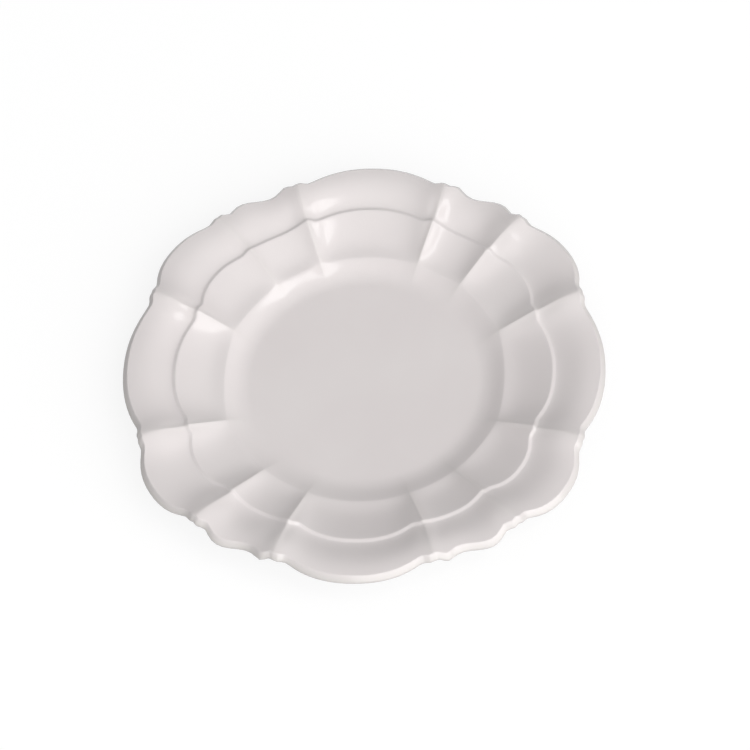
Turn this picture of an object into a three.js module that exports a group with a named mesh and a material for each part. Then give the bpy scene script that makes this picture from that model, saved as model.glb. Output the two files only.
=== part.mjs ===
// A lobed salad plate in glazed ceramic: a pressed body, a luted foot ring and two coats of glaze.
// Units are millimetres. Z is up, the plate's axis is Z, and the foot stands on z = 0.

import * as THREE from 'three';
import { mergeVertices } from 'three/addons/utils/BufferGeometryUtils.js';

// Creases of one quarter of the plate, in degrees from +X. The other quarters mirror them.
// A crease runs straight out from the well to the ledge, and may lean to another angle at the rim.
const FIRST_CREASE_ANGLE = 21.7;
const SECOND_CREASE_ANGLE = 49.5;
const THIRD_CREASE_ANGLE = 69.8;
const FIRST_RIM_ANGLE = 21.5;
const SECOND_RIM_ANGLE = 48.8;
const THIRD_RIM_ANGLE = 70.6;

// Rim outline: radius at the crown of each arched lobe, from the one on +X round to the one on +Y.
const RIM_SIDE_CROWN = 111;
const RIM_CORNER_CROWN = 114.5;
const RIM_END_CROWN = 112.4;
// Rim outline: radius at which each lobe runs into its creases, named by the lobe and the crease.
const RIM_SIDE_FIRST = 105.6;
const RIM_CORNER_FIRST = 105.2;
const RIM_CORNER_SECOND = 106.6;
const RIM_NARROW_SECOND = 104.5;
const RIM_NARROW_THIRD = 113.6;
const RIM_END_THIRD = 105;
// Rim outline: how far the narrow lobe's ogee swings, and radius at the tip of the nib on each crease.
const RIM_NARROW_SWING = 4.1;
const RIM_FIRST_TIP = 108.3;
const RIM_SECOND_TIP = 110;
const RIM_THIRD_TIP = 108;

// Ledge between the two tiers of panels: the same sizes along its raised edge, then its width and drop.
const LEDGE_SIDE_CROWN = 86.8;
const LEDGE_CORNER_CROWN = 88.5;
const LEDGE_END_CROWN = 89.3;
const LEDGE_SIDE_FIRST = 82.1;
const LEDGE_CORNER_FIRST = 80.9;
const LEDGE_CORNER_SECOND = 83.1;
const LEDGE_NARROW_SECOND = 85.7;
const LEDGE_NARROW_THIRD = 86.6;
const LEDGE_END_THIRD = 83.5;
const LEDGE_NARROW_SWING = 0.4;
const LEDGE_FIRST_TIP = 84.2;
const LEDGE_SECOND_TIP = 85.7;
const LEDGE_THIRD_TIP = 86.4;
const LEDGE_WIDTH = 1.6;
const LEDGE_DROP = 0.5;

// Power by which an arched edge rounds over its crown, distance over which a rounded nib fades along
// its edge, and radii that soften the arris of a crease, on the face and at the rim.
const ARCH_POWER = 2.4;
const NIB_SPREAD = 2.7;
const CREASE_SOFTNESS = 0.6;
const RIM_CREASE_SOFTNESS = 1.8;

// Well: the flat floor, the width of the cove round it in each kind of lobe and at the creases,
// and the width of the cove's round toe.
const WELL_RADIUS = 53.2;
const COVE_SIDE_WIDTH = 11.4;
const COVE_CORNER_WIDTH = 12.4;
const COVE_NARROW_WIDTH = 12.8;
const COVE_END_WIDTH = 13.2;
const COVE_CREASE_WIDTH = 13.1;
const COVE_TOE_WIDTH = 8.4;

// Heights over the well's floor, at the middle of each kind of lobe and at each crease.
const SHOULDER_RISE = 3.9;
const SHOULDER_CREASE_RISE = 4.8;
const LEDGE_SIDE_RISE = 9.4;
const LEDGE_CORNER_RISE = 9.1;
const LEDGE_NARROW_RISE = 9.3;
const LEDGE_END_RISE = 10.3;
const LEDGE_FIRST_RISE = 12;
const LEDGE_SECOND_RISE = 12.5;
const LEDGE_THIRD_RISE = 13.2;
const RIM_SIDE_RISE = 12.7;
const RIM_CORNER_RISE = 12.3;
const RIM_NARROW_RISE = 12.8;
const RIM_END_RISE = 14.6;
const RIM_FIRST_RISE = 15.9;
const RIM_SECOND_RISE = 16.2;
const RIM_THIRD_RISE = 16.6;

// How the section curves: the share of an inner panel's width at which its middle turns up and how softly,
// and the powers by which an outer panel starts up and levels out.
const INNER_PANEL_BEND = 0.28;
const INNER_PANEL_BEND_SOFTNESS = 0.18;
const OUTER_PANEL_START_POWER = 1.55;
const OUTER_PANEL_LEVEL_POWER = 3.2;
// How far from a crease the flutes of the inner and the outer tier reach before they have mostly sunk.
const INNER_FLUTE_LENGTH = 6.2;
const OUTER_FLUTE_LENGTH = 6;

// Lip: how far it reaches past the outer panels, the slope of its bevel in degrees and its round nose.
const LIP_REACH = 2.35;
const LIP_BEVEL_ANGLE = 46;
const LIP_NOSE_RADIUS = 1.4;

// Thicknesses, glaze included: the wall below the panels, the base below the well and the glaze itself.
const WALL_THICKNESS = 5;
const BASE_THICKNESS = 5;
const GLAZE_THICKNESS = 0.4;

// Foot ring: its size at the joint, the draw of each wall, its seat in the body and its unglazed height.
const FOOT_OUTER_RADIUS = 63;
const FOOT_WIDTH = 6;
const FOOT_WALL_TAPER = 1;
const FOOT_SEAT_DEPTH = 1;
const FOOT_BARE_HEIGHT = 1.2;
// Room between the glazed base and the table, and the flat heel outside the foot.
const BASE_CLEARANCE = 2.6;
const HEEL_WIDTH = 2;

// Divisions of the surface: steps across each kind of lobe, and stations across each zone of the section.
const SIDE_LOBE_STEPS = 10;
const CORNER_LOBE_STEPS = 6;
const NARROW_LOBE_STEPS = 8;
const END_LOBE_STEPS = 10;
const COVE_STATIONS = [0.35, 0.67, 1];
const INNER_STATIONS = [0.25, 0.5, 1];
const OUTER_STATIONS = [0, 0.2, 0.45, 0.7, 1];
const LIP_NOSE_STEPS = 3;
const BACK_STATIONS = [0.75, 0.5, 0.25];

const GLAZE_COLOUR = 0xf0ebea;
const GLAZE_ROUGHNESS = 0.2;
const CLAY_COLOUR = 0xe3dcd2;
const CLAY_ROUGHNESS = 0.75;

// Places that follow from the sizes above.
const WELL_HEIGHT = BASE_CLEARANCE + BASE_THICKNESS;
const JOINT_HEIGHT = BASE_CLEARANCE + GLAZE_THICKNESS;
const SEAT_HEIGHT = JOINT_HEIGHT + FOOT_SEAT_DEPTH;
const FOOT_INNER_RADIUS = FOOT_OUTER_RADIUS - FOOT_WIDTH;
const HEEL_RADIUS = FOOT_OUTER_RADIUS + HEEL_WIDTH;

const { degToRad: radians, lerp, inverseLerp, clamp } = THREE.MathUtils;

// Centre of the lip's nose, out from and below the arris where the panel ends. The bevel is its tangent.
const NOSE_START = radians(LIP_BEVEL_ANGLE);
const NOSE_OUT = LIP_REACH - LIP_NOSE_RADIUS;
const BEVEL_OUT = NOSE_OUT + LIP_NOSE_RADIUS * Math.sin(NOSE_START);
const NOSE_DROP = BEVEL_OUT * Math.tan(NOSE_START) + LIP_NOSE_RADIUS * Math.cos(NOSE_START);

// The creases of a quarter: the angles of each, and the radius and rise of its nibs at rim and ledge.
const FIRST = {
  angle: FIRST_CREASE_ANGLE,
  rimAngle: FIRST_RIM_ANGLE,
  rim: RIM_FIRST_TIP,
  ledge: LEDGE_FIRST_TIP,
  rimRise: RIM_FIRST_RISE,
  ledgeRise: LEDGE_FIRST_RISE,
};
const SECOND = {
  angle: SECOND_CREASE_ANGLE,
  rimAngle: SECOND_RIM_ANGLE,
  rim: RIM_SECOND_TIP,
  ledge: LEDGE_SECOND_TIP,
  rimRise: RIM_SECOND_RISE,
  ledgeRise: LEDGE_SECOND_RISE,
};
const THIRD = {
  angle: THIRD_CREASE_ANGLE,
  rimAngle: THIRD_RIM_ANGLE,
  rim: RIM_THIRD_TIP,
  ledge: LEDGE_THIRD_TIP,
  rimRise: RIM_THIRD_RISE,
  ledgeRise: LEDGE_THIRD_RISE,
};

// An edge of a lobe that arches from one end over its crown to the other.
function arch(startRadius, crownRadius, stopRadius) {
  return { ends: [startRadius, stopRadius], bulge: crownRadius - (startRadius + stopRadius) / 2, swing: 0 };
}

// An edge of a lobe that swings out in its first half and in by as much in its second.
function ogee(startRadius, stopRadius, swing) {
  return { ends: [startRadius, stopRadius], bulge: 0, swing };
}

// The kinds of lobe in a quarter: their creases, steps, edges, heights and coves.
const SIDE_LOBE = {
  creases: [FIRST, FIRST],
  steps: SIDE_LOBE_STEPS,
  rim: arch(RIM_SIDE_FIRST, RIM_SIDE_CROWN, RIM_SIDE_FIRST),
  ledge: arch(LEDGE_SIDE_FIRST, LEDGE_SIDE_CROWN, LEDGE_SIDE_FIRST),
  rimRise: RIM_SIDE_RISE,
  ledgeRise: LEDGE_SIDE_RISE,
  coveWidth: COVE_SIDE_WIDTH,
};
const CORNER_LOBE = {
  creases: [FIRST, SECOND],
  steps: CORNER_LOBE_STEPS,
  rim: arch(RIM_CORNER_FIRST, RIM_CORNER_CROWN, RIM_CORNER_SECOND),
  ledge: arch(LEDGE_CORNER_FIRST, LEDGE_CORNER_CROWN, LEDGE_CORNER_SECOND),
  rimRise: RIM_CORNER_RISE,
  ledgeRise: LEDGE_CORNER_RISE,
  coveWidth: COVE_CORNER_WIDTH,
};
const NARROW_LOBE = {
  creases: [SECOND, THIRD],
  steps: NARROW_LOBE_STEPS,
  rim: ogee(RIM_NARROW_SECOND, RIM_NARROW_THIRD, RIM_NARROW_SWING),
  ledge: ogee(LEDGE_NARROW_SECOND, LEDGE_NARROW_THIRD, LEDGE_NARROW_SWING),
  rimRise: RIM_NARROW_RISE,
  ledgeRise: LEDGE_NARROW_RISE,
  coveWidth: COVE_NARROW_WIDTH,
};
const END_LOBE = {
  creases: [THIRD, THIRD],
  steps: END_LOBE_STEPS,
  rim: arch(RIM_END_THIRD, RIM_END_CROWN, RIM_END_THIRD),
  ledge: arch(LEDGE_END_THIRD, LEDGE_END_CROWN, LEDGE_END_THIRD),
  rimRise: RIM_END_RISE,
  ledgeRise: LEDGE_END_RISE,
  coveWidth: COVE_END_WIDTH,
};

// The same lobe seen in a mirror, for the quarters that run the other way round.
function mirrored(lobe) {
  const turned = (edge) => ({ ends: edge.ends.toReversed(), bulge: edge.bulge, swing: -edge.swing });
  return { ...lobe, creases: lobe.creases.toReversed(), rim: turned(lobe.rim), ledge: turned(lobe.ledge) };
}

// Six lobes make half a turn, and the other half repeats them.
function lobesOfHalfTurn(turn) {
  const bounds = (a, b, c) => [-a, a, b, c, 180 - c, 180 - b, 180 - a].map((angle) => turn + angle);
  const inner = bounds(FIRST.angle, SECOND.angle, THIRD.angle);
  const outer = bounds(FIRST.rimAngle, SECOND.rimAngle, THIRD.rimAngle);
  const backwards = [mirrored(NARROW_LOBE), mirrored(CORNER_LOBE)];
  return [SIDE_LOBE, CORNER_LOBE, NARROW_LOBE, END_LOBE, ...backwards].map((lobe, index) => ({
    ...lobe,
    start: inner[index],
    stop: inner[index + 1],
    rimStart: outer[index],
    rimStop: outer[index + 1],
  }));
}

// Distance from the nearer crease along a circle, with the arris softened, and the lobe's half width there.
function creaseDistance(lobe, angle, radius, softness) {
  const halfWidth = radians(lobe.stop - lobe.start) / 2 * radius;
  const along = radians(Math.min(angle - lobe.start, lobe.stop - angle)) * radius;
  const distance = Math.hypot(along, softness) - softness;
  return { distance, halfWidth };
}

// Radius of the rim or the ledge: the lobe's own curve, and the nib that stands out of it at the crease.
function edgeRadius(lobe, name, angle) {
  const edge = lobe[name];
  const softness = name === 'rim' ? RIM_CREASE_SOFTNESS : CREASE_SOFTNESS;
  const { distance, halfWidth } = creaseDistance(lobe, angle, (edge.ends[0] + edge.ends[1]) / 2, softness);
  const fromCrease = distance / (Math.hypot(halfWidth, softness) - softness) / 2;
  const side = angle - lobe.start < lobe.stop - angle ? 0 : 1;
  const share = side === 0 ? fromCrease : 1 - fromCrease;
  const run = lerp(edge.ends[0], edge.ends[1], share);
  const toCrown = 1 - Math.abs(2 * share - 1) ** ARCH_POWER;
  const curve = edge.bulge * toCrown + edge.swing * Math.sin(2 * Math.PI * share);
  const nib = lobe.creases[side][name] - edge.ends[side];
  return run + curve + nib * Math.exp(-((distance / NIB_SPREAD) ** 2));
}

// Angles, radii and heights of the section through the face at one share of a lobe's width.
function faceSection(lobe, share) {
  const angle = lerp(lobe.start, lobe.stop, share);
  const crease = lobe.creases[share < 0.5 ? 0 : 1];
  const ledge = edgeRadius(lobe, 'ledge', angle);
  const { distance, halfWidth } = creaseDistance(lobe, angle, ledge, CREASE_SOFTNESS);
  const rounded = creaseDistance(lobe, angle, ledge, RIM_CREASE_SOFTNESS);
  const toCrease = 1 - distance / halfWidth;
  const innerFlute = toCrease ** (halfWidth / INNER_FLUTE_LENGTH);
  const outerFlute = toCrease ** (halfWidth / OUTER_FLUTE_LENGTH);
  const rimFlute = (1 - rounded.distance / halfWidth) ** (halfWidth / OUTER_FLUTE_LENGTH);
  return {
    angle: radians(angle),
    rimAngle: radians(lerp(lobe.rimStart, lobe.rimStop, share)),
    innerFlute,
    shoulder: WELL_RADIUS + lerp(lobe.coveWidth, COVE_CREASE_WIDTH, toCrease ** 2),
    ledge,
    valley: ledge + LEDGE_WIDTH,
    lip: edgeRadius(lobe, 'rim', angle) - LIP_REACH,
    shoulderHeight: WELL_HEIGHT + lerp(SHOULDER_RISE, SHOULDER_CREASE_RISE, innerFlute),
    ledgeHeight: WELL_HEIGHT + lerp(lobe.ledgeRise, crease.ledgeRise, innerFlute),
    valleyHeight: WELL_HEIGHT + lerp(lobe.ledgeRise, crease.ledgeRise, outerFlute) - LEDGE_DROP,
    lipHeight: WELL_HEIGHT + lerp(lobe.rimRise, crease.rimRise, rimFlute),
  };
}

// Sections all round the plate, closer together near the creases.
function allSections() {
  const lobes = [...lobesOfHalfTurn(0), ...lobesOfHalfTurn(180)];
  const sections = [];
  for (const lobe of lobes) {
    for (let step = 0; step < lobe.steps; step += 1) {
      const share = (1 - Math.cos(Math.PI * step / lobe.steps)) / 2;
      sections.push(faceSection(lobe, share));
    }
  }
  return sections;
}

// Climb of the cove for each distance past the floor: its round toe, then a straight wall.
function coveClimb(distance) {
  if (distance <= COVE_TOE_WIDTH) {
    return distance ** 2 / (2 * COVE_TOE_WIDTH);
  }
  return distance - COVE_TOE_WIDTH / 2;
}

// Share of an inner panel's rise down its middle: level, a soft bend, then a straight climb.
function bentRise(share) {
  const pastBend = (place) => place - INNER_PANEL_BEND;
  const climb = (place) => pastBend(place) + Math.hypot(pastBend(place), INNER_PANEL_BEND_SOFTNESS);
  return inverseLerp(climb(0), climb(1), climb(share));
}

// Share of an outer panel's rise at a share of its width: steep at first and level at the lip.
function levellingRise(share) {
  return 1 - (1 - share ** OUTER_PANEL_START_POWER) ** OUTER_PANEL_LEVEL_POWER;
}

// Height of the face over one section: floor, cove, inner panel, ledge and outer panel.
// At a crease the inner panel climbs straight.
function faceHeight(section, radius) {
  if (radius <= WELL_RADIUS) {
    return WELL_HEIGHT;
  }
  if (radius <= section.shoulder) {
    const rise = coveClimb(radius - WELL_RADIUS) / coveClimb(section.shoulder - WELL_RADIUS);
    return lerp(WELL_HEIGHT, section.shoulderHeight, rise);
  }
  if (radius <= section.ledge) {
    const share = inverseLerp(section.shoulder, section.ledge, radius);
    const rise = lerp(bentRise(share), share, section.innerFlute);
    return lerp(section.shoulderHeight, section.ledgeHeight, rise);
  }
  if (radius <= section.valley) {
    const share = inverseLerp(section.ledge, section.valley, radius);
    return lerp(section.ledgeHeight, section.valleyHeight, share);
  }
  const share = inverseLerp(section.valley, section.lip, radius);
  return lerp(section.valleyHeight, section.lipHeight, levellingRise(share));
}

const SECTIONS = allSections();

// Angle of a section at a radius: beyond the ledge it leans with its creases.
function angleAt(section, radius) {
  const share = clamp(inverseLerp(section.valley, section.lip, radius), 0, 1);
  return lerp(section.angle, section.rimAngle, share);
}

// A station is a ring of points, one for each section, from a function that gives radius and height.
function station(place) {
  return SECTIONS.map((section) => {
    const [radius, height] = place(section);
    const angle = angleAt(section, radius);
    return new THREE.Vector3(radius * Math.cos(angle), radius * Math.sin(angle), height);
  });
}

// A station on the axis is a single point.
function axisPoint(height) {
  return [new THREE.Vector3(0, 0, height)];
}

// Stations over the face from the axis to the lip, a depth below the glazed surface.
function faceStations(depth) {
  const zoneStations = (shares, from, to) => shares.map((share) => station((section) => {
    const radius = lerp(from(section), to(section), share);
    return [radius, faceHeight(section, radius) - depth];
  }));
  return [
    axisPoint(WELL_HEIGHT - depth),
    station(() => [WELL_RADIUS, WELL_HEIGHT - depth]),
    ...zoneStations(COVE_STATIONS, () => WELL_RADIUS, (section) => section.shoulder),
    ...zoneStations(INNER_STATIONS, (section) => section.shoulder, (section) => section.ledge),
    ...zoneStations(OUTER_STATIONS, (section) => section.valley, (section) => section.lip),
  ];
}

// Stations round the lip: the end of its bevel, then round its nose to the underside.
function lipStations(depth) {
  const radius = LIP_NOSE_RADIUS - depth;
  const stations = [];
  for (let step = 0; step <= LIP_NOSE_STEPS; step += 1) {
    const turn = lerp(NOSE_START, Math.PI, step / LIP_NOSE_STEPS);
    stations.push(station((section) => [
      section.lip + NOSE_OUT + radius * Math.sin(turn),
      section.lipHeight - NOSE_DROP + radius * Math.cos(turn),
    ]));
  }
  return stations;
}

// Stations down the back: under the panels at the wall's thickness, then the flat heel beside the foot.
function backStations(depth) {
  const underPanels = BACK_STATIONS.map((share) => station((section) => {
    const radius = lerp(HEEL_RADIUS, section.lip, share);
    return [radius, faceHeight(section, radius) - WALL_THICKNESS + depth];
  }));
  return [...underPanels, station(() => [HEEL_RADIUS, BASE_CLEARANCE + depth])];
}

// The foot's tapered walls, outside and inside, at a height over the table.
function footOuterRadius(height) {
  return FOOT_OUTER_RADIUS - FOOT_WALL_TAPER * (1 - height / JOINT_HEIGHT);
}

function footInnerRadius(height) {
  return FOOT_INNER_RADIUS + FOOT_WALL_TAPER * (1 - height / JOINT_HEIGHT);
}

// Stations that the foot ring shares with the body and with the two coats of glaze.
const OUTER_JOINT = station(() => [FOOT_OUTER_RADIUS, JOINT_HEIGHT]);
const OUTER_BARE = station(() => [footOuterRadius(FOOT_BARE_HEIGHT), FOOT_BARE_HEIGHT]);
const INNER_BARE = station(() => [footInnerRadius(FOOT_BARE_HEIGHT), FOOT_BARE_HEIGHT]);
const INNER_JOINT = station(() => [FOOT_INNER_RADIUS, JOINT_HEIGHT]);
const OUTER_SEAT = station(() => [FOOT_OUTER_RADIUS, SEAT_HEIGHT]);
const INNER_SEAT = station(() => [FOOT_INNER_RADIUS, SEAT_HEIGHT]);
const FOOT_SEAT = [OUTER_JOINT, OUTER_SEAT, INNER_SEAT, INNER_JOINT];
const BASE_CENTRE = axisPoint(JOINT_HEIGHT);

// The clay surface under the main coat of glaze, and the coat's own surface.
const CLAY_SURFACE = [
  ...faceStations(GLAZE_THICKNESS),
  ...lipStations(GLAZE_THICKNESS),
  ...backStations(GLAZE_THICKNESS),
  OUTER_JOINT,
];
const GLAZE_SURFACE = [
  ...faceStations(0),
  ...lipStations(0),
  ...backStations(0),
  station(() => [FOOT_OUTER_RADIUS + GLAZE_THICKNESS, BASE_CLEARANCE]),
  station(() => [footOuterRadius(FOOT_BARE_HEIGHT) + GLAZE_THICKNESS, FOOT_BARE_HEIGHT]),
];

// Triangles between neighbouring stations, facing away from the axis side of their order.
function sheet(stations) {
  const triangles = [];
  for (let row = 0; row + 1 < stations.length; row += 1) {
    const [near, far] = [stations[row], stations[row + 1]];
    for (let column = 0; column < SECTIONS.length; column += 1) {
      const next = (column + 1) % SECTIONS.length;
      if (far.length > 1) {
        triangles.push([near[column % near.length], far[column], far[next]]);
      }
      if (near.length > 1) {
        triangles.push([near[column], far[next % far.length], near[next]]);
      }
    }
  }
  return triangles;
}

// The same triangles facing the other way, for the side of a coat that lies on the clay.
function flipped(triangles) {
  return triangles.map(([a, b, c]) => [a, c, b]);
}

function solidGeometry(triangles) {
  const geometry = new THREE.BufferGeometry().setFromPoints(triangles.flat());
  return mergeVertices(geometry);
}

function plateBody() {
  return solidGeometry([
    ...sheet(CLAY_SURFACE),
    ...sheet(FOOT_SEAT),
    ...sheet([INNER_JOINT, BASE_CENTRE]),
  ]);
}

function footRing() {
  const outerToe = station(() => [footOuterRadius(0), 0]);
  const innerToe = station(() => [footInnerRadius(0), 0]);
  return solidGeometry([
    ...sheet([OUTER_JOINT, OUTER_BARE, outerToe, innerToe, INNER_BARE, INNER_JOINT]),
    ...flipped(sheet(FOOT_SEAT)),
  ]);
}

function glazeCoat() {
  return solidGeometry([
    ...sheet([...GLAZE_SURFACE, OUTER_BARE]),
    ...flipped(sheet([...CLAY_SURFACE, OUTER_BARE])),
  ]);
}

function baseGlaze() {
  const wallEnd = station(() => [footInnerRadius(FOOT_BARE_HEIGHT) - GLAZE_THICKNESS, FOOT_BARE_HEIGHT]);
  const wallTop = station(() => [FOOT_INNER_RADIUS - GLAZE_THICKNESS, BASE_CLEARANCE]);
  return solidGeometry([
    ...sheet([INNER_BARE, wallEnd, wallTop, axisPoint(BASE_CLEARANCE)]),
    ...flipped(sheet([INNER_BARE, INNER_JOINT, BASE_CENTRE])),
  ]);
}

function piece(name, geometry, material) {
  const mesh = new THREE.Mesh(geometry, material);
  mesh.name = name;
  return mesh;
}

function clay() {
  return new THREE.MeshStandardMaterial({ color: CLAY_COLOUR, roughness: CLAY_ROUGHNESS, metalness: 0 });
}

function glaze() {
  return new THREE.MeshStandardMaterial({ color: GLAZE_COLOUR, roughness: GLAZE_ROUGHNESS, metalness: 0 });
}

const plate = new THREE.Group();
plate.add(piece('plate_body', plateBody(), clay()));
plate.add(piece('foot_ring', footRing(), clay()));
plate.add(piece('glaze_coat', glazeCoat(), glaze()));
plate.add(piece('base_glaze', baseGlaze(), glaze()));

export default plate;
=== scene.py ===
# A lobed salad plate in white glazed ceramic, standing on a pale studio floor.
# Plate sizes are millimetres, as in the solids, and become metres where a mesh is made.

import math
from dataclasses import dataclass, replace

import bpy
import numpy as np
from mathutils import Matrix, Quaternion, Vector


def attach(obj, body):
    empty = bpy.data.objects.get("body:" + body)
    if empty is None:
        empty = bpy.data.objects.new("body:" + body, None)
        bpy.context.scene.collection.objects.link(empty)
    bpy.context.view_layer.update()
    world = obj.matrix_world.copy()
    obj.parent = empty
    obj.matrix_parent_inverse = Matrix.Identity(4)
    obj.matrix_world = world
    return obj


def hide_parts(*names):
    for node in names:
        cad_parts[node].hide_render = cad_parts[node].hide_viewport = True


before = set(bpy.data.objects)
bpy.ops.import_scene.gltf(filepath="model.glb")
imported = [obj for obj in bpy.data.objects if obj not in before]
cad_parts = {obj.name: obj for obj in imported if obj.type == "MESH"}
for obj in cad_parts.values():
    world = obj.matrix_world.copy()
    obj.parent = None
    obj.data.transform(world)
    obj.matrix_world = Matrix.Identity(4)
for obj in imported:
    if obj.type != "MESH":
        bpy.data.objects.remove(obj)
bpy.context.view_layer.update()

MM = 0.001

# Creases of one quarter of the plate, in degrees from +X. The other quarters mirror them.
# A crease runs straight out from the well to the ledge, and may lean to another angle at the rim.
FIRST_CREASE_ANGLE = 21.7
SECOND_CREASE_ANGLE = 49.5
THIRD_CREASE_ANGLE = 69.8
FIRST_RIM_ANGLE = 21.5
SECOND_RIM_ANGLE = 48.8
THIRD_RIM_ANGLE = 70.6

# Rim outline: crowns of the lobes, their radius at each crease, the ogee's swing and the tips of the nibs.
RIM_SIDE_CROWN = 111
RIM_CORNER_CROWN = 114.5
RIM_END_CROWN = 112.4
RIM_SIDE_FIRST = 105.6
RIM_CORNER_FIRST = 105.2
RIM_CORNER_SECOND = 106.6
RIM_NARROW_SECOND = 104.5
RIM_NARROW_THIRD = 113.6
RIM_END_THIRD = 105
RIM_NARROW_SWING = 4.1
RIM_FIRST_TIP = 108.3
RIM_SECOND_TIP = 110
RIM_THIRD_TIP = 108

# Ledge between the two tiers of panels: the same sizes along its raised edge, then its width and drop.
LEDGE_SIDE_CROWN = 86.8
LEDGE_CORNER_CROWN = 88.5
LEDGE_END_CROWN = 89.3
LEDGE_SIDE_FIRST = 82.1
LEDGE_CORNER_FIRST = 80.9
LEDGE_CORNER_SECOND = 83.1
LEDGE_NARROW_SECOND = 85.7
LEDGE_NARROW_THIRD = 86.6
LEDGE_END_THIRD = 83.5
LEDGE_NARROW_SWING = 0.4
LEDGE_FIRST_TIP = 84.2
LEDGE_SECOND_TIP = 85.7
LEDGE_THIRD_TIP = 86.4
LEDGE_WIDTH = 1.6
LEDGE_DROP = 0.5

# Power by which an arched edge rounds over its crown, distance over which a rounded nib fades along
# its edge, and radii that soften the arris of a crease, on the face and at the rim.
ARCH_POWER = 2.4
NIB_SPREAD = 2.7
CREASE_SOFTNESS = 0.6
RIM_CREASE_SOFTNESS = 1.8

# Well: the flat floor, the width of the cove round it in each kind of lobe and at the creases,
# and the width of the cove's round toe.
WELL_RADIUS = 53.2
COVE_SIDE_WIDTH = 11.4
COVE_CORNER_WIDTH = 12.4
COVE_NARROW_WIDTH = 12.8
COVE_END_WIDTH = 13.2
COVE_CREASE_WIDTH = 13.1
COVE_TOE_WIDTH = 8.4

# Heights over the well's floor, at the middle of each kind of lobe and at each crease.
SHOULDER_RISE = 3.9
SHOULDER_CREASE_RISE = 4.8
LEDGE_SIDE_RISE = 9.4
LEDGE_CORNER_RISE = 9.1
LEDGE_NARROW_RISE = 9.3
LEDGE_END_RISE = 10.3
LEDGE_FIRST_RISE = 12
LEDGE_SECOND_RISE = 12.5
LEDGE_THIRD_RISE = 13.2
RIM_SIDE_RISE = 12.7
RIM_CORNER_RISE = 12.3
RIM_NARROW_RISE = 12.8
RIM_END_RISE = 14.6
RIM_FIRST_RISE = 15.9
RIM_SECOND_RISE = 16.2
RIM_THIRD_RISE = 16.6

# How the section curves: the share of an inner panel's width at which its middle turns up and how softly,
# and the powers by which an outer panel starts up and levels out.
INNER_PANEL_BEND = 0.28
INNER_PANEL_BEND_SOFTNESS = 0.18
OUTER_PANEL_START_POWER = 1.55
OUTER_PANEL_LEVEL_POWER = 3.2
# How far from a crease the flutes of the inner and the outer tier reach before they have mostly sunk.
INNER_FLUTE_LENGTH = 6.2
OUTER_FLUTE_LENGTH = 6

# Lip: how far it reaches past the outer panels, the slope of its bevel in degrees and its round nose.
LIP_REACH = 2.35
LIP_BEVEL_ANGLE = 46
LIP_NOSE_RADIUS = 1.4

# Thicknesses, glaze included, and the foot ring under the well.
WALL_THICKNESS = 5
BASE_THICKNESS = 5
GLAZE_THICKNESS = 0.4
FOOT_OUTER_RADIUS = 63
FOOT_WIDTH = 6
FOOT_WALL_TAPER = 1
FOOT_SEAT_DEPTH = 1
FOOT_BARE_HEIGHT = 1.2
BASE_CLEARANCE = 2.6
HEEL_WIDTH = 2

# Fine shape: how far the glaze rounds the breaks of the face at the shoulder and the ledge, and the round
# of the foot's toe.
SHOULDER_SOFTNESS = 1.3
LEDGE_SOFTNESS = 0.7
TOE_RADIUS = 0.6

# Divisions of the fine surface. The back keeps the wall's thickness at a few shares of the way from heel
# to lip, and the base has rings at shares of its radius.
SIDE_LOBE_STEPS = 34
CORNER_LOBE_STEPS = 24
NARROW_LOBE_STEPS = 20
END_LOBE_STEPS = 34
WELL_RINGS = 6
COVE_RINGS = 14
INNER_RINGS = 16
LEDGE_RINGS = 8
OUTER_RINGS = 16
BEVEL_RINGS = 4
NOSE_RINGS = 10
BACK_SHARES = (0.75, 0.5, 0.25)
BACK_RINGS = 5
BASE_SHARES = (0.8, 0.5, 0.2)
CORNER_RINGS = 5
SOFTENING_SAMPLES = 9
# Turn between two faces, in degrees, beyond which their edge is shaded as a sharp one.
SHARP_ANGLE = 50

# Places that follow from the sizes above.
WELL_HEIGHT = BASE_CLEARANCE + BASE_THICKNESS
JOINT_HEIGHT = BASE_CLEARANCE + GLAZE_THICKNESS
SEAT_HEIGHT = JOINT_HEIGHT + FOOT_SEAT_DEPTH
FOOT_INNER_RADIUS = FOOT_OUTER_RADIUS - FOOT_WIDTH
HEEL_RADIUS = FOOT_OUTER_RADIUS + HEEL_WIDTH
NOSE_START = math.radians(LIP_BEVEL_ANGLE)
NOSE_OUT = LIP_REACH - LIP_NOSE_RADIUS
BEVEL_OUT = NOSE_OUT + LIP_NOSE_RADIUS * math.sin(NOSE_START)
NOSE_DROP = BEVEL_OUT * math.tan(NOSE_START) + LIP_NOSE_RADIUS * math.cos(NOSE_START)

# Glaze and clay: linear colours, roughness and the glaze's index of refraction. The glaze lies thinner on
# the lip and, in part, on the arrises of the creases, with a power that keeps it close to them. Its darker
# tone there is partly thinner glaze and partly painted shade, which tones down the lit lip and darkens the
# arris lines.
GLAZE_TONE = (0.87, 0.82, 0.812, 1)
GLAZE_DEEP_TONE = (0.85, 0.796, 0.79, 1)
# Darker, warmer tone of thinner glaze, which is also painted shade on the lip and the arrises.
GLAZE_THIN_AND_SHADE_TONE = (0.77, 0.735, 0.71, 1)
GLAZE_THIN_AND_SHADE_SHARE = 0.85
ARRIS_THIN_AND_SHADE = 0.3
ARRIS_POWER = 12
GLAZE_ROUGHNESS = (0.08, 0.14)
GLAZE_IOR = 1.5
CLAY_TONE = (0.76, 0.71, 0.64, 1)
CLAY_SPECK_TONE = (0.62, 0.55, 0.47, 1)
CLAY_ROUGHNESS = 0.8

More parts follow.
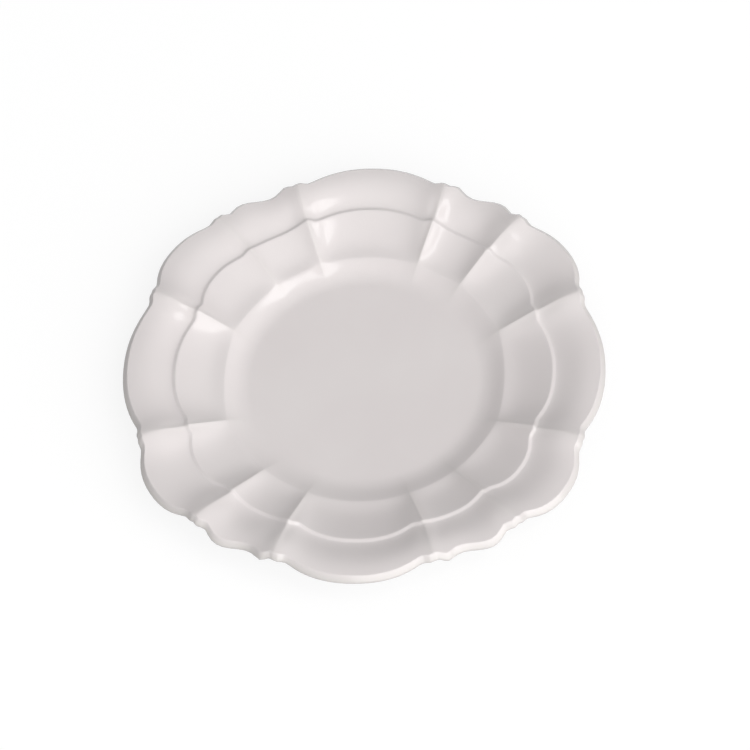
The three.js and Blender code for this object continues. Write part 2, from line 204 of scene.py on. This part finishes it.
# Noise in the materials: its scale for each metre, detail and roughness. Some of it becomes a pattern over
# a range of its values, and some becomes bumps of a distance in metres and a strength.
DRIFT_NOISE = (22, 3, 0.5)
DRIFT_RANGE = (0.35, 0.65)
PATCH_NOISE = (45, 2, 0.5)
PATCH_RANGE = (0.3, 0.7)
RIPPLE_NOISE = (70, 1, 0.4)
RIPPLE_BUMP = (0.0001, 0.25)
PEEL_NOISE = (900, 2, 0.5)
PEEL_BUMP = (0.00001, 0.2)
SPECK_NOISE = (1400, 2, 0.6)
SPECK_RANGE = (0.58, 0.72)
GRAIN_NOISE = (2500, 3, 0.6)
GRAIN_BUMP = (0.00006, 0.5)
FULL_RANGE = (0, 1)

# Camera, fitted to the photograph: where the plate's axis shows at the height of its rim, in pixels.
PHOTO_SIZE = 750
AIM_PIXEL = (362.2, 364.2)
AIM_HEIGHT = 0.0213
CAMERA_AZIMUTH = 7.6
CAMERA_ELEVATION = 57.3
CAMERA_ROLL = 6.3
CAMERA_DISTANCE = 1.36
CAMERA_LENS = 142.5
SENSOR_WIDTH = 36

# Light: a low and a high soft box to the front right, at one distance from the plate, and even light from
# all round.
BOX_DISTANCE = 4
LOW_BOX_AZIMUTH = 38.5
LOW_BOX_ELEVATION = 31.8
LOW_BOX_ROLL = 0
LOW_BOX_SIZE = (6.4, 3.9)
LOW_BOX_POWER = 176
HIGH_BOX_AZIMUTH = 71
HIGH_BOX_ELEVATION = 66.5
HIGH_BOX_ROLL = -38
HIGH_BOX_SIZE = (2.2, 0.7)
HIGH_BOX_POWER = 14.5
WORLD_COLOUR = (1, 1, 1, 1)
AMBIENT_STRENGTH = 0.308

# Floor: its size and its level just below the foot in metres, its colour, and the glow that makes it white
# where it is seen.
FLOOR_SIZE = 12
FLOOR_LEVEL = -0.0001
FLOOR_COLOUR = (0.22, 0.22, 0.22, 1)
FLOOR_GLOW = 0.84


@dataclass(frozen=True)
class Crease:
    """A crease's angles at the ledge and at the rim, and the radius and rise of its nibs there."""
    angle: float
    rim_angle: float
    rim: float
    ledge: float
    rim_rise: float
    ledge_rise: float


@dataclass(frozen=True)
class Edge:
    """Radius of a lobe's rim or ledge at its two creases, and how far it arches or swings between them."""
    start: float
    stop: float
    bulge: float = 0
    swing: float = 0

    def mirrored(self):
        return Edge(self.stop, self.start, self.bulge, -self.swing)


@dataclass(frozen=True)
class Lobe:
    """A lobe's two creases, its edges, the rise of its middle and its cove, and the angles that it spans."""
    creases: tuple
    steps: int
    rim: Edge
    ledge: Edge
    rim_rise: float
    ledge_rise: float
    cove_width: float
    start: float = 0
    stop: float = 0
    rim_start: float = 0
    rim_stop: float = 0

    def mirrored(self):
        creases = self.creases[::-1]
        return replace(self, creases=creases, rim=self.rim.mirrored(), ledge=self.ledge.mirrored())


def arch(start, crown, stop):
    return Edge(start, stop, bulge=crown - (start + stop) / 2)


FIRST = Crease(
    angle=FIRST_CREASE_ANGLE,
    rim_angle=FIRST_RIM_ANGLE,
    rim=RIM_FIRST_TIP,
    ledge=LEDGE_FIRST_TIP,
    rim_rise=RIM_FIRST_RISE,
    ledge_rise=LEDGE_FIRST_RISE,
)
SECOND = Crease(
    angle=SECOND_CREASE_ANGLE,
    rim_angle=SECOND_RIM_ANGLE,
    rim=RIM_SECOND_TIP,
    ledge=LEDGE_SECOND_TIP,
    rim_rise=RIM_SECOND_RISE,
    ledge_rise=LEDGE_SECOND_RISE,
)
THIRD = Crease(
    angle=THIRD_CREASE_ANGLE,
    rim_angle=THIRD_RIM_ANGLE,
    rim=RIM_THIRD_TIP,
    ledge=LEDGE_THIRD_TIP,
    rim_rise=RIM_THIRD_RISE,
    ledge_rise=LEDGE_THIRD_RISE,
)

SIDE_LOBE = Lobe(
    creases=(FIRST, FIRST),
    steps=SIDE_LOBE_STEPS,
    rim=arch(RIM_SIDE_FIRST, RIM_SIDE_CROWN, RIM_SIDE_FIRST),
    ledge=arch(LEDGE_SIDE_FIRST, LEDGE_SIDE_CROWN, LEDGE_SIDE_FIRST),
    rim_rise=RIM_SIDE_RISE,
    ledge_rise=LEDGE_SIDE_RISE,
    cove_width=COVE_SIDE_WIDTH,
)
CORNER_LOBE = Lobe(
    creases=(FIRST, SECOND),
    steps=CORNER_LOBE_STEPS,
    rim=arch(RIM_CORNER_FIRST, RIM_CORNER_CROWN, RIM_CORNER_SECOND),
    ledge=arch(LEDGE_CORNER_FIRST, LEDGE_CORNER_CROWN, LEDGE_CORNER_SECOND),
    rim_rise=RIM_CORNER_RISE,
    ledge_rise=LEDGE_CORNER_RISE,
    cove_width=COVE_CORNER_WIDTH,
)
NARROW_LOBE = Lobe(
    creases=(SECOND, THIRD),
    steps=NARROW_LOBE_STEPS,
    rim=Edge(RIM_NARROW_SECOND, RIM_NARROW_THIRD, swing=RIM_NARROW_SWING),
    ledge=Edge(LEDGE_NARROW_SECOND, LEDGE_NARROW_THIRD, swing=LEDGE_NARROW_SWING),
    rim_rise=RIM_NARROW_RISE,
    ledge_rise=LEDGE_NARROW_RISE,
    cove_width=COVE_NARROW_WIDTH,
)
END_LOBE = Lobe(
    creases=(THIRD, THIRD),
    steps=END_LOBE_STEPS,
    rim=arch(RIM_END_THIRD, RIM_END_CROWN, RIM_END_THIRD),
    ledge=arch(LEDGE_END_THIRD, LEDGE_END_CROWN, LEDGE_END_THIRD),
    rim_rise=RIM_END_RISE,
    ledge_rise=LEDGE_END_RISE,
    cove_width=COVE_END_WIDTH,
)


def lerp(low, high, share):
    return low + (high - low) * share


def lobes_of_half_turn(turn):
    """Six lobes make half a turn, and the other half repeats them."""

    def bounds(a, b, c):
        return [turn + angle for angle in (-a, a, b, c, 180 - c, 180 - b, 180 - a)]

    inner = bounds(FIRST.angle, SECOND.angle, THIRD.angle)
    outer = bounds(FIRST.rim_angle, SECOND.rim_angle, THIRD.rim_angle)
    kinds = [SIDE_LOBE, CORNER_LOBE, NARROW_LOBE, END_LOBE, NARROW_LOBE.mirrored(), CORNER_LOBE.mirrored()]
    return [
        replace(kind, start=start, stop=stop, rim_start=rim_start, rim_stop=rim_stop)
        for kind, start, stop, rim_start, rim_stop in zip(kinds, inner, inner[1:], outer, outer[1:])
    ]


def crease_distance(lobe, angle, radius, softness):
    """Distance from the nearer crease along a circle, with the arris softened, and the lobe's half width."""
    half_width = np.radians(lobe.stop - lobe.start) / 2 * radius
    along = np.radians(np.minimum(angle - lobe.start, lobe.stop - angle)) * radius
    return np.hypot(along, softness) - softness, half_width


def edge_radius(lobe, name, angle):
    """Radius of the rim or the ledge: the lobe's own curve, with a nib standing out at each crease."""
    edge = getattr(lobe, name)
    softness = RIM_CREASE_SOFTNESS if name == "rim" else CREASE_SOFTNESS
    distance, half_width = crease_distance(lobe, angle, (edge.start + edge.stop) / 2, softness)
    from_crease = distance / (np.hypot(half_width, softness) - softness) / 2
    nearer_start = angle - lobe.start < lobe.stop - angle
    share = np.where(nearer_start, from_crease, 1 - from_crease)
    run = lerp(edge.start, edge.stop, share)
    to_crown = 1 - np.abs(2 * share - 1) ** ARCH_POWER
    curve = edge.bulge * to_crown + edge.swing * np.sin(2 * np.pi * share)
    nib_at_start = getattr(lobe.creases[0], name) - edge.start
    nib_at_stop = getattr(lobe.creases[1], name) - edge.stop
    nib = np.where(nearer_start, nib_at_start, nib_at_stop)
    return run + curve + nib * np.exp(-(distance / NIB_SPREAD) ** 2)


def lobe_sections(lobe):
    """Angles, radii and heights of the sections through one lobe, closer together near its creases."""
    share = (1 - np.cos(np.pi * np.arange(lobe.steps) / lobe.steps)) / 2
    angle = lerp(lobe.start, lobe.stop, share)
    ledge = edge_radius(lobe, "ledge", angle)
    distance, half_width = crease_distance(lobe, angle, ledge, CREASE_SOFTNESS)
    rounded, _ = crease_distance(lobe, angle, ledge, RIM_CREASE_SOFTNESS)
    to_crease = 1 - distance / half_width
    inner_flute = to_crease ** (half_width / INNER_FLUTE_LENGTH)
    outer_flute = to_crease ** (half_width / OUTER_FLUTE_LENGTH)
    rim_flute = (1 - rounded / half_width) ** (half_width / OUTER_FLUTE_LENGTH)
    nearer_start = share < 0.5
    ledge_crease_rise = np.where(nearer_start, lobe.creases[0].ledge_rise, lobe.creases[1].ledge_rise)
    rim_crease_rise = np.where(nearer_start, lobe.creases[0].rim_rise, lobe.creases[1].rim_rise)
    return {
        "angle": np.radians(angle),
        "rim_angle": np.radians(lerp(lobe.rim_start, lobe.rim_stop, share)),
        "to_crease": to_crease,
        "inner_flute": inner_flute,
        "shoulder": WELL_RADIUS + lerp(lobe.cove_width, COVE_CREASE_WIDTH, to_crease ** 2),
        "ledge": ledge,
        "valley": ledge + LEDGE_WIDTH,
        "lip": edge_radius(lobe, "rim", angle) - LIP_REACH,
        "shoulder_height": WELL_HEIGHT + lerp(SHOULDER_RISE, SHOULDER_CREASE_RISE, inner_flute),
        "ledge_height": WELL_HEIGHT + lerp(lobe.ledge_rise, ledge_crease_rise, inner_flute),
        "valley_height": WELL_HEIGHT + lerp(lobe.ledge_rise, ledge_crease_rise, outer_flute) - LEDGE_DROP,
        "lip_height": WELL_HEIGHT + lerp(lobe.rim_rise, rim_crease_rise, rim_flute),
    }


def all_sections():
    parts = [lobe_sections(lobe) for lobe in lobes_of_half_turn(0) + lobes_of_half_turn(180)]
    return {name: np.concatenate([part[name] for part in parts]) for name in parts[0]}


SECTIONS = all_sections()


def cove_climb(distance):
    """Climb of the cove for each distance past the floor: its round toe, then a straight wall."""
    toe = distance ** 2 / (2 * COVE_TOE_WIDTH)
    return np.where(distance <= COVE_TOE_WIDTH, toe, distance - COVE_TOE_WIDTH / 2)


def bent_rise(share):
    """Share of an inner panel's rise down its middle: level, a soft bend, then a straight climb."""

    def climb(place):
        return place - INNER_PANEL_BEND + np.hypot(place - INNER_PANEL_BEND, INNER_PANEL_BEND_SOFTNESS)

    return (climb(share) - climb(0)) / (climb(1) - climb(0))


def levelling_rise(share):
    """Share of an outer panel's rise: steep at first and level at the lip."""
    return 1 - (1 - share ** OUTER_PANEL_START_POWER) ** OUTER_PANEL_LEVEL_POWER


def sharp_face_height(radius):
    """Height of each section's face at one radius: floor, cove, inner panel, ledge and outer panel."""
    s = SECTIONS

    def share(start, stop):
        return np.clip((radius - start) / (stop - start), 0, 1)

    cove_width = s["shoulder"] - WELL_RADIUS
    cove = cove_climb(share(WELL_RADIUS, s["shoulder"]) * cove_width) / cove_climb(cove_width)
    inner = share(s["shoulder"], s["ledge"])
    inner = lerp(bent_rise(inner), inner, s["inner_flute"])
    ledge = share(s["ledge"], s["valley"])
    outer = levelling_rise(share(s["valley"], s["lip"]))
    return (
        WELL_HEIGHT
        + (s["shoulder_height"] - WELL_HEIGHT) * cove
        + (s["ledge_height"] - s["shoulder_height"]) * inner
        + (s["valley_height"] - s["ledge_height"]) * ledge
        + (s["lip_height"] - s["valley_height"]) * outer
    )


def face_height(radius):
    """The same height with its breaks rounded, as a weighted mean over a short stretch of radius."""
    s = SECTIONS
    inner = np.clip((radius - s["shoulder"]) / (s["ledge"] - s["shoulder"]), 0, 1)
    softness = lerp(SHOULDER_SOFTNESS, LEDGE_SOFTNESS, inner)
    places = np.linspace(-1, 1, SOFTENING_SAMPLES + 2)[1:-1]
    weights = np.cos(places * np.pi / 2) ** 2
    heights = [sharp_face_height(radius + place * softness) for place in places]
    return np.average(heights, axis=0, weights=weights)


def ring(radius, height, thin_and_shade=0):
    """A ring of points, one for each section, with how much the glaze's tone darkens there: thinner glaze,
    and painted shade on the lip and arrises.

    Beyond the ledge a section leans with its creases.
    """
    s = SECTIONS
    lean = np.clip((radius - s["valley"]) / (s["lip"] - s["valley"]), 0, 1)
    angle = lerp(s["angle"], s["rim_angle"], lean)
    radius, height, thin_and_shade = np.broadcast_arrays(radius, height, thin_and_shade, angle)[:3]
    return np.stack([radius * np.cos(angle), radius * np.sin(angle), height, thin_and_shade], axis=1)


def axis_point(height):
    return np.array([[0, 0, height, 0]])


def eased(count):
    """Shares from just after 0 to 1, closer together at both ends."""
    return (1 - np.cos(np.pi * np.arange(1, count + 1) / count)) / 2


def face_rings(depth):
    """Rings over the face from the axis to the lip, a depth below the glazed surface."""
    s = SECTIONS
    rings = [axis_point(WELL_HEIGHT - depth)]
    for share in np.arange(1, WELL_RINGS + 1) / WELL_RINGS:
        rings.append(ring((WELL_RADIUS - SHOULDER_SOFTNESS) * share, WELL_HEIGHT - depth))
    zones = [
        (WELL_RADIUS - SHOULDER_SOFTNESS, s["shoulder"], COVE_RINGS),
        (s["shoulder"], s["ledge"], INNER_RINGS),
        (s["ledge"], s["valley"], LEDGE_RINGS),
        (s["valley"], s["lip"], OUTER_RINGS),
    ]
    # Darker tone on the arrises: thinner glaze, and painted shade that draws their lines darker.
    arris_thin_glaze_and_shade = ARRIS_THIN_AND_SHADE * s["to_crease"] ** ARRIS_POWER
    for start, stop, count in zones:
        for share in eased(count):
            radius = lerp(start, stop, share)
            past_shoulder = np.clip((radius - WELL_RADIUS) / (s["shoulder"] - WELL_RADIUS), 0, 1)
            rings.append(ring(radius, face_height(radius) - depth, arris_thin_glaze_and_shade * past_shoulder))
    return rings


def lip_rings(depth):
    """Rings round the lip: down its bevel, then round its nose to the underside."""
    lip = SECTIONS["lip"]
    top = face_height(lip)
    radius = LIP_NOSE_RADIUS - depth
    bevel_end = (NOSE_OUT + radius * math.sin(NOSE_START), NOSE_DROP - radius * math.cos(NOSE_START))
    rings = []
    # The tone darkens down the bevel and eases off round the nose: thinner glaze, and painted shade that
    # tones down the lit lip.
    for share in np.arange(1, BEVEL_RINGS + 1) / BEVEL_RINGS:
        rings.append(ring(lip + bevel_end[0] * share, top - lerp(depth, bevel_end[1], share), share))
    for share in np.arange(1, NOSE_RINGS + 1) / NOSE_RINGS:
        turn = lerp(NOSE_START, np.pi, share)
        place = lip + NOSE_OUT + radius * math.sin(turn)
        rings.append(ring(place, top - NOSE_DROP + radius * math.cos(turn), 1 - share))
    return rings


def curve_between(before, start, stop, after, count):
    """Rings on a smooth curve from one ring to the next, shaped by the rings before and after them."""
    rings = []
    for share in np.arange(1, count + 1) / count:
        pull_start = (stop - before) / 2
        pull_stop = (after - start) / 2
        rings.append(
            start * (2 * share ** 3 - 3 * share ** 2 + 1)
            + stop * (3 * share ** 2 - 2 * share ** 3)
            + pull_start * (share ** 3 - 2 * share ** 2 + share)
            + pull_stop * (share ** 3 - share ** 2)
        )
    return rings


def back_rings(depth):
    """Rings down the back: at the wall's thickness under the panels, and level at the lip and the heel."""
    lip = SECTIONS["lip"]
    places = [(lip + NOSE_OUT, face_height(lip) - NOSE_DROP - LIP_NOSE_RADIUS + depth)]
    for share in BACK_SHARES:
        radius = lerp(HEEL_RADIUS, lip, share)
        places.append((radius, sharp_face_height(radius) - WALL_THICKNESS + depth))
    places.append((np.full_like(lip, HEEL_RADIUS), np.full_like(lip, BASE_CLEARANCE + depth)))
    points = [np.stack(place) for place in places]

    def beyond(end, neighbour):
        return np.stack([2 * end[0] - neighbour[0], neighbour[1]])

    points = [beyond(points[0], points[1])] + points + [beyond(points[-1], points[-2])]
    rings = []
    for index in range(1, len(points) - 2):
        for radius, height in curve_between(*points[index - 1:index + 3], BACK_RINGS):
            rings.append(ring(radius, height))
    return rings


def foot_outer_radius(height):
    return FOOT_OUTER_RADIUS - FOOT_WALL_TAPER * (1 - height / JOINT_HEIGHT)


def foot_inner_radius(height):
    return FOOT_INNER_RADIUS + FOOT_WALL_TAPER * (1 - height / JOINT_HEIGHT)


OUTER_JOINT = ring(FOOT_OUTER_RADIUS, JOINT_HEIGHT)
OUTER_BARE = ring(foot_outer_radius(FOOT_BARE_HEIGHT), FOOT_BARE_HEIGHT)
INNER_BARE = ring(foot_inner_radius(FOOT_BARE_HEIGHT), FOOT_BARE_HEIGHT)
INNER_JOINT = ring(FOOT_INNER_RADIUS, JOINT_HEIGHT)
OUTER_SEAT = ring(FOOT_OUTER_RADIUS, SEAT_HEIGHT)
INNER_SEAT = ring(FOOT_INNER_RADIUS, SEAT_HEIGHT)
FOOT_SEAT = [OUTER_JOINT, OUTER_SEAT, INNER_SEAT, INNER_JOINT]


def clay_rings():
    """The clay's surface under the main coat of glaze."""
    depth = GLAZE_THICKNESS
    return face_rings(depth) + lip_rings(depth) + back_rings(depth) + [OUTER_JOINT]


def glaze_edge(wall_radius, outward):
    """The rounded end of a coat of glaze on a wall of the foot, where the bare clay starts."""
    rings = []
    for turn in np.pi / 2 * np.arange(1, CORNER_RINGS + 1) / CORNER_RINGS:
        proud = GLAZE_THICKNESS * math.cos(turn)
        height = FOOT_BARE_HEIGHT + GLAZE_THICKNESS * (1 - math.sin(turn))
        rings.append(ring(wall_radius(height) + outward * proud, height, math.sin(turn)))
    return rings


def glaze_coat_rings():
    """One closed skin: the glazed surface out to the foot, then the clay's surface back to the axis."""
    outside = face_rings(0) + lip_rings(0) + back_rings(0)
    wall_end = ring(
        foot_outer_radius(FOOT_BARE_HEIGHT + GLAZE_THICKNESS) + GLAZE_THICKNESS,
        FOOT_BARE_HEIGHT + GLAZE_THICKNESS,
    )
    edge = glaze_edge(foot_outer_radius, 1)
    return outside + [wall_end] + edge + clay_rings()[::-1]


def plate_body_rings():
    """The clay's surface under the main coat, the groove for the foot ring and the base inside it."""
    return clay_rings() + FOOT_SEAT[1:] + [axis_point(JOINT_HEIGHT)]


def foot_ring_rings():
    """The ring's closed section: down the outer wall, round the toe, up the inner wall and over the seat."""
    rings = [OUTER_JOINT, OUTER_BARE]
    for wall, outward in ((foot_outer_radius, 1), (foot_inner_radius, -1)):
        turns = np.pi / 2 * np.arange(CORNER_RINGS + 1) / CORNER_RINGS
        if outward < 0:
            turns = turns[::-1]
        for turn in turns:
            inset = TOE_RADIUS * (1 - math.cos(turn))
            height = TOE_RADIUS * (1 - math.sin(turn))
            rings.append(ring(wall(height) - outward * inset, height))
    rings += [INNER_BARE, INNER_JOINT, INNER_SEAT, OUTER_SEAT]
    return rings


def base_glaze_rings():
    """The patch of glaze inside the foot ring, with the clay's surface as its upper side."""
    wall_end = ring(
        foot_inner_radius(FOOT_BARE_HEIGHT + GLAZE_THICKNESS) - GLAZE_THICKNESS,
        FOOT_BARE_HEIGHT + GLAZE_THICKNESS,
    )
    wall_top = ring(FOOT_INNER_RADIUS - GLAZE_THICKNESS, BASE_CLEARANCE)
    edge = glaze_edge(foot_inner_radius, -1)[::-1]
    base = [ring(FOOT_INNER_RADIUS * share, BASE_CLEARANCE) for share in BASE_SHARES]
    return (
        [axis_point(JOINT_HEIGHT), INNER_JOINT]
        + edge
        + [wall_end, wall_top]
        + base
        + [axis_point(BASE_CLEARANCE)]
    )


def skin_faces(rings, closed):
    """Faces between neighbouring rings. A ring of one point closes to a fan."""
    columns = len(SECTIONS["angle"])
    starts = np.concatenate([[0], np.cumsum([len(r) for r in rings])])
    pairs = list(zip(range(len(rings) - 1), range(1, len(rings))))
    if closed:
        pairs.append((len(rings) - 1, 0))
    faces = []
    for near, far in pairs:
        for column in range(columns):
            after = (column + 1) % columns
            corners = [
                starts[near] + column % len(rings[near]),
                starts[far] + column % len(rings[far]),
                starts[far] + after % len(rings[far]),
                starts[near] + after % len(rings[near]),
            ]
            faces.append([int(corner) for corner in dict.fromkeys(corners)])
    return faces


def add_piece(name, rings, material, node, closed=False):
    """A mesh piece that stands for a CAD node and rides with the plate."""
    points = np.concatenate(rings)
    mesh = bpy.data.meshes.new(name)
    mesh.from_pydata((points[:, :3] * MM).tolist(), [], skin_faces(rings, closed))
    mesh.polygons.foreach_set("use_smooth", [True] * len(mesh.polygons))
    mesh.set_sharp_from_angle(angle=math.radians(SHARP_ANGLE))
    # Share of the darker glaze tone at each point: thinner glaze, and painted shade on the lip and arrises.
    thin_and_shade = mesh.attributes.new("thin_glaze_and_shade", "FLOAT", "POINT")
    thin_and_shade.data.foreach_set("value", points[:, 3].astype(np.float32))
    mesh.materials.append(material)
    piece = bpy.data.objects.new(name, mesh)
    bpy.context.scene.collection.objects.link(piece)
    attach(piece, "root")
    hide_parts(node)


class Nodes:
    """Short calls for making and joining the nodes of a material or the world."""

    def __init__(self, owner, output="ShaderNodeOutputMaterial"):
        self.owner = owner
        self.owner.use_nodes = True
        self.tree = self.owner.node_tree
        self.tree.nodes.clear()
        self.output = self.add(output)

    def add(self, kind, **settings):
        node = self.tree.nodes.new(kind)
        for name, value in settings.items():
            setattr(node, name, value)
        return node

    def join(self, source, target):
        self.tree.links.new(source, target)

    def noise(self, scale, detail, roughness):
        coordinates = self.add("ShaderNodeTexCoord")
        node = self.add("ShaderNodeTexNoise")
        node.inputs["Scale"].default_value = scale
        node.inputs["Detail"].default_value = detail
        node.inputs["Roughness"].default_value = roughness
        self.join(coordinates.outputs["Object"], node.inputs["Vector"])
        return node.outputs["Fac"]

    def spread(self, value, source, target):
        node = self.add("ShaderNodeMapRange")
        for name, number in zip(("From Min", "From Max", "To Min", "To Max"), (*source, *target)):
            node.inputs[name].default_value = number
        self.join(value, node.inputs["Value"])
        return node.outputs["Result"]

    def blend(self, factor, first, second):
        node = self.add("ShaderNodeMix", data_type="RGBA")
        self.join(factor, node.inputs["Factor"])
        sockets = [socket for socket in node.inputs if socket.type == "RGBA"]
        for socket, colour in zip(sockets, (first, second)):
            if isinstance(colour, tuple):
                socket.default_value = colour
            else:
                self.join(colour, socket)
        return [socket for socket in node.outputs if socket.type == "RGBA"][0]

    def bump(self, height, distance, strength, normal=None):
        node = self.add("ShaderNodeBump")
        node.inputs["Distance"].default_value = distance
        node.inputs["Strength"].default_value = strength
        self.join(height, node.inputs["Height"])
        if normal is not None:
            self.join(normal, node.inputs["Normal"])
        return node.outputs["Normal"]


def glaze_material():
    """White gloss glaze: drifting tone, darker and warmer on arrises and lip from thinner glaze and painted
    shade, faint ripple and orange peel.
    """
    nodes = Nodes(bpy.data.materials.new("white_glaze"))
    shader = nodes.add("ShaderNodeBsdfPrincipled")
    shader.inputs["IOR"].default_value = GLAZE_IOR
    drift = nodes.spread(nodes.noise(*DRIFT_NOISE), DRIFT_RANGE, FULL_RANGE)
    tone = nodes.blend(drift, GLAZE_TONE, GLAZE_DEEP_TONE)
    # Darker tone where the glaze is thinner, and painted shade on the lip and arrises.
    thin_and_shade = nodes.add("ShaderNodeAttribute", attribute_name="thin_glaze_and_shade")
    thin_and_shade_share = nodes.spread(thin_and_shade.outputs["Fac"], FULL_RANGE, (0, GLAZE_THIN_AND_SHADE_SHARE))
    nodes.join(nodes.blend(thin_and_shade_share, tone, GLAZE_THIN_AND_SHADE_TONE), shader.inputs["Base Color"])
    patches = nodes.noise(*PATCH_NOISE)
    nodes.join(nodes.spread(patches, PATCH_RANGE, GLAZE_ROUGHNESS), shader.inputs["Roughness"])
    ripple = nodes.bump(nodes.noise(*RIPPLE_NOISE), *RIPPLE_BUMP)
    peel = nodes.bump(nodes.noise(*PEEL_NOISE), *PEEL_BUMP, ripple)
    nodes.join(peel, shader.inputs["Normal"])
    nodes.join(shader.outputs["BSDF"], nodes.output.inputs["Surface"])
    return nodes.owner


def clay_material():
    """Bare fired clay: matte, warm, faintly specked, with a sandy grain."""
    nodes = Nodes(bpy.data.materials.new("bare_clay"))
    shader = nodes.add("ShaderNodeBsdfPrincipled")
    shader.inputs["Roughness"].default_value = CLAY_ROUGHNESS
    specks = nodes.spread(nodes.noise(*SPECK_NOISE), SPECK_RANGE, FULL_RANGE)
    nodes.join(nodes.blend(specks, CLAY_TONE, CLAY_SPECK_TONE), shader.inputs["Base Color"])
    nodes.join(nodes.bump(nodes.noise(*GRAIN_NOISE), *GRAIN_BUMP), shader.inputs["Normal"])
    nodes.join(shader.outputs["BSDF"], nodes.output.inputs["Surface"])
    return nodes.owner


def seen_directly(nodes):
    """One for rays that come straight, or by a mirror or glass, from the camera."""
    path = nodes.add("ShaderNodeLightPath")
    total = path.outputs["Is Camera Ray"]
    for name in ("Is Glossy Ray", "Is Transmission Ray"):
        node = nodes.add("ShaderNodeMath", operation="ADD", use_clamp=True)
        nodes.join(total, node.inputs[0])
        nodes.join(path.outputs[name], node.inputs[1])
        total = node.outputs["Value"]
    return total


def floor_material():
    """A pale floor that is white to the camera and keeps the soft shadow of the plate."""
    nodes = Nodes(bpy.data.materials.new("studio_floor"))
    diffuse = nodes.add("ShaderNodeBsdfDiffuse")
    diffuse.inputs["Color"].default_value = FLOOR_COLOUR
    glow = nodes.add("ShaderNodeEmission")
    strength = nodes.add("ShaderNodeMath", operation="MULTIPLY")
    strength.inputs[1].default_value = FLOOR_GLOW
    nodes.join(seen_directly(nodes), strength.inputs[0])
    nodes.join(strength.outputs["Value"], glow.inputs["Strength"])
    both = nodes.add("ShaderNodeAddShader")
    nodes.join(diffuse.outputs["BSDF"], both.inputs[0])
    nodes.join(glow.outputs["Emission"], both.inputs[1])
    nodes.join(both.outputs["Shader"], nodes.output.inputs["Surface"])
    return nodes.owner


def add_floor():
    half = FLOOR_SIZE / 2
    mesh = bpy.data.meshes.new("floor")
    corners = [(x * half, y * half, FLOOR_LEVEL) for x, y in ((-1, -1), (1, -1), (1, 1), (-1, 1))]
    mesh.from_pydata(corners, [], [(0, 1, 2, 3)])
    mesh.materials.append(floor_material())
    floor = bpy.data.objects.new("floor", mesh)
    bpy.context.scene.collection.objects.link(floor)


def direction(azimuth, elevation):
    """Unit vector from the plate towards a place round it: azimuth 0 is in front, 90 to the right."""
    a, e = math.radians(azimuth), math.radians(elevation)
    return Vector((math.sin(a) * math.cos(e), -math.cos(a) * math.cos(e), math.sin(e)))


def add_soft_box(name, azimuth, elevation, roll, size, power):
    """A rectangle of light that faces the plate. Without roll its longer side is level."""
    lamp = bpy.data.lights.new(name, "AREA")
    lamp.shape = "RECTANGLE"
    lamp.size, lamp.size_y = size
    lamp.energy = power
    box = bpy.data.objects.new(name, lamp)
    towards = direction(azimuth, elevation)
    box.location = towards * BOX_DISTANCE
    level = (-towards).to_track_quat("-Z", "Y")
    box.rotation_euler = (level @ Quaternion((0, 0, 1), math.radians(roll))).to_euler()
    bpy.context.scene.collection.objects.link(box)


def add_world():
    """Even light from all round, which is white where it is seen."""
    world = bpy.data.worlds.new("studio")
    bpy.context.scene.world = world
    nodes = Nodes(world, "ShaderNodeOutputWorld")
    background = nodes.add("ShaderNodeBackground")
    background.inputs["Color"].default_value = WORLD_COLOUR
    strength = nodes.spread(seen_directly(nodes), FULL_RANGE, (AMBIENT_STRENGTH, 1))
    nodes.join(strength, background.inputs["Strength"])
    nodes.join(background.outputs["Background"], nodes.output.inputs["Surface"])


def add_camera():
    """The photograph's view: the plate's axis, at the height of the rim, shows at its pixel."""
    turn = Matrix.Rotation(math.radians(CAMERA_AZIMUTH), 3, "Z")
    level_right = turn @ Vector((1, 0, 0))
    forward = -direction(CAMERA_AZIMUTH, CAMERA_ELEVATION)
    level_up = level_right.cross(forward)
    roll = math.radians(CAMERA_ROLL)
    right = level_right * math.cos(roll) - level_up * math.sin(roll)
    down = -level_right * math.sin(roll) - level_up * math.cos(roll)
    place = Vector((0, 0, AIM_HEIGHT)) - forward * CAMERA_DISTANCE
    focal = CAMERA_LENS / SENSOR_WIDTH * PHOTO_SIZE
    middle = (PHOTO_SIZE - 1) / 2
    sight = forward + right * ((middle - AIM_PIXEL[0]) / focal) + down * ((middle - AIM_PIXEL[1]) / focal)
    sight.normalize()
    right = (right - sight * right.dot(sight)).normalized()
    up = right.cross(sight)
    data = bpy.data.cameras.new("camera")
    data.lens = CAMERA_LENS
    data.sensor_width = SENSOR_WIDTH
    camera = bpy.data.objects.new("camera", data)
    camera.matrix_world = Matrix.Translation(place) @ Matrix((right, up, -sight)).transposed().to_4x4()
    bpy.context.scene.collection.objects.link(camera)
    bpy.context.scene.camera = camera


add_camera()
add_soft_box("low_box", LOW_BOX_AZIMUTH, LOW_BOX_ELEVATION, LOW_BOX_ROLL, LOW_BOX_SIZE, LOW_BOX_POWER)
add_soft_box("high_box", HIGH_BOX_AZIMUTH, HIGH_BOX_ELEVATION, HIGH_BOX_ROLL, HIGH_BOX_SIZE, HIGH_BOX_POWER)
add_world()
add_floor()
glaze = glaze_material()
clay = clay_material()
add_piece("glaze_coat_fine", glaze_coat_rings(), glaze, "glaze_coat")
add_piece("base_glaze_fine", base_glaze_rings(), glaze, "base_glaze")
add_piece("plate_body_fine", plate_body_rings(), clay, "plate_body")
add_piece("foot_ring_fine", foot_ring_rings(), clay, "foot_ring", closed=True)

bpy.context.scene.view_settings.view_transform = "Standard"
